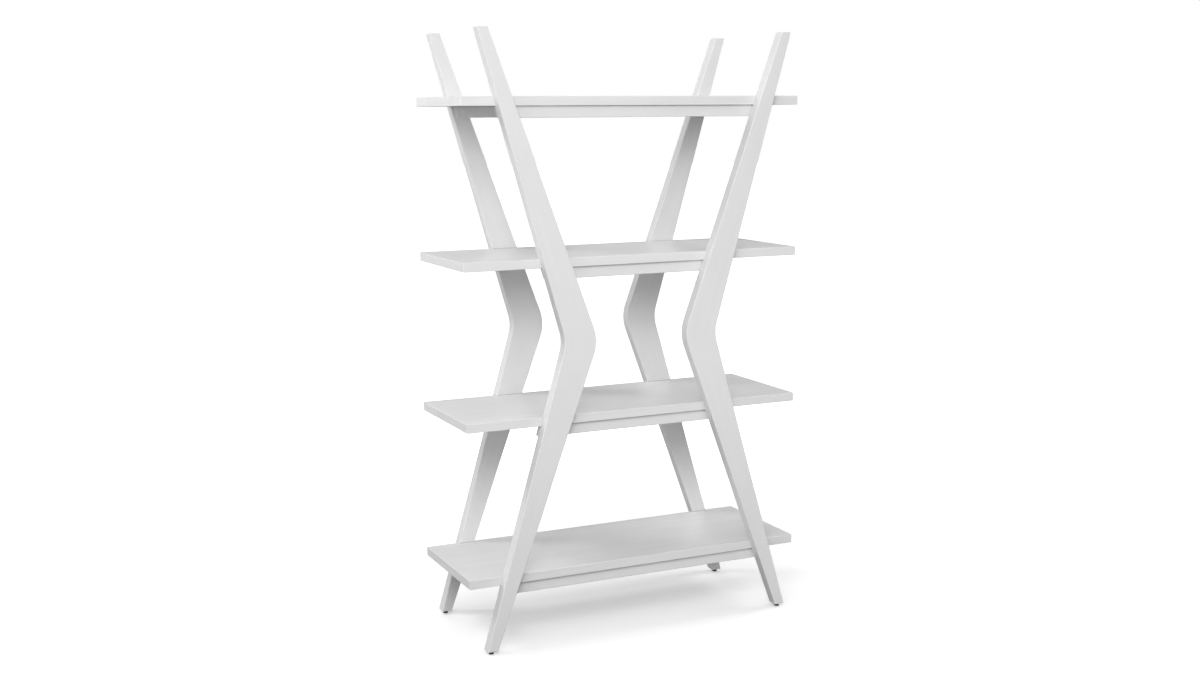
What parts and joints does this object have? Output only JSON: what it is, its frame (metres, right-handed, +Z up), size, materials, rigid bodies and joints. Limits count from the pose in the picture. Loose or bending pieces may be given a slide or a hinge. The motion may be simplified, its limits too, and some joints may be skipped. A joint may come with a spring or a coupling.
{
  "type": "etagere",
  "caption": "Open etagere in white painted wood: chevron board legs in front and back pairs, long shelves let into them on slim rails, and small screw-in levelling feet.",
  "frame": {"origin": "on the floor, at the middle of the footprint", "axes": "+Z up, -Y to the front, +X to the right of someone facing the front"},
  "size_m": [1.1, 0.44, 1.81],
  "materials": {
    "painted_wood": "satin white paint, the grain just showing",
    "bare_beech": "bare",
    "white_nylon": "moulded, satin",
    "black_nylon": "moulded",
    "zinc_steel": "zinc plated"
  },
  "bodies": {
    "frame": {"leg_back_left": "painted_wood", "leg_back_right": "painted_wood", "leg_front_left": "painted_wood", "leg_front_right": "painted_wood", "leveller_inserts": "zinc_steel", "rail_back_bottom": "painted_wood", "rail_back_lower": "painted_wood", "rail_back_top": "painted_wood", "rail_back_upper": "painted_wood", "rail_bolts_bottom": "zinc_steel", "rail_bolts_lower": "zinc_steel", "rail_bolts_top": "zinc_steel", "rail_bolts_upper": "zinc_steel", "rail_caps_bottom": "white_nylon", "rail_caps_lower": "white_nylon", "rail_caps_top": "white_nylon", "rail_caps_upper": "white_nylon", "rail_dowels_bottom": "bare_beech", "rail_dowels_lower": "bare_beech", "rail_dowels_top": "bare_beech", "rail_dowels_upper": "bare_beech", "rail_front_bottom": "painted_wood", "rail_front_lower": "painted_wood", "rail_front_top": "painted_wood", "rail_front_upper": "painted_wood", "rail_inserts_bottom": "zinc_steel", "rail_inserts_lower": "zinc_steel", "rail_inserts_top": "zinc_steel", "rail_inserts_upper": "zinc_steel", "shelf_bottom": "painted_wood", "shelf_lower": "painted_wood", "shelf_screws_bottom": "zinc_steel", "shelf_screws_lower": "zinc_steel", "shelf_screws_top": "zinc_steel", "shelf_screws_upper": "zinc_steel", "shelf_top": "painted_wood", "shelf_upper": "painted_wood"},
    "leveller_front_left": {"leveller_pad_front_left": "black_nylon", "leveller_stud_front_left": "zinc_steel"},
    "leveller_front_right": {"leveller_pad_front_right": "black_nylon", "leveller_stud_front_right": "zinc_steel"},
    "leveller_back_left": {"leveller_pad_back_left": "black_nylon", "leveller_stud_back_left": "zinc_steel"},
    "leveller_back_right": {"leveller_pad_back_right": "black_nylon", "leveller_stud_back_right": "zinc_steel"}
  },
  "joints": [
    {"name": "leveller_front_left_screw", "type": "slide", "parent": "frame", "child": "leveller_front_left", "axis": [0, 0, -1], "range_m": [0, 0.01]},
    {"name": "leveller_front_right_screw", "type": "slide", "parent": "frame", "child": "leveller_front_right", "axis": [0, 0, -1], "range_m": [0, 0.01]},
    {"name": "leveller_back_left_screw", "type": "slide", "parent": "frame", "child": "leveller_back_left", "axis": [0, 0, -1], "range_m": [0, 0.01]},
    {"name": "leveller_back_right_screw", "type": "slide", "parent": "frame", "child": "leveller_back_right", "axis": [0, 0, -1], "range_m": [0, 0.01]}
  ]
}
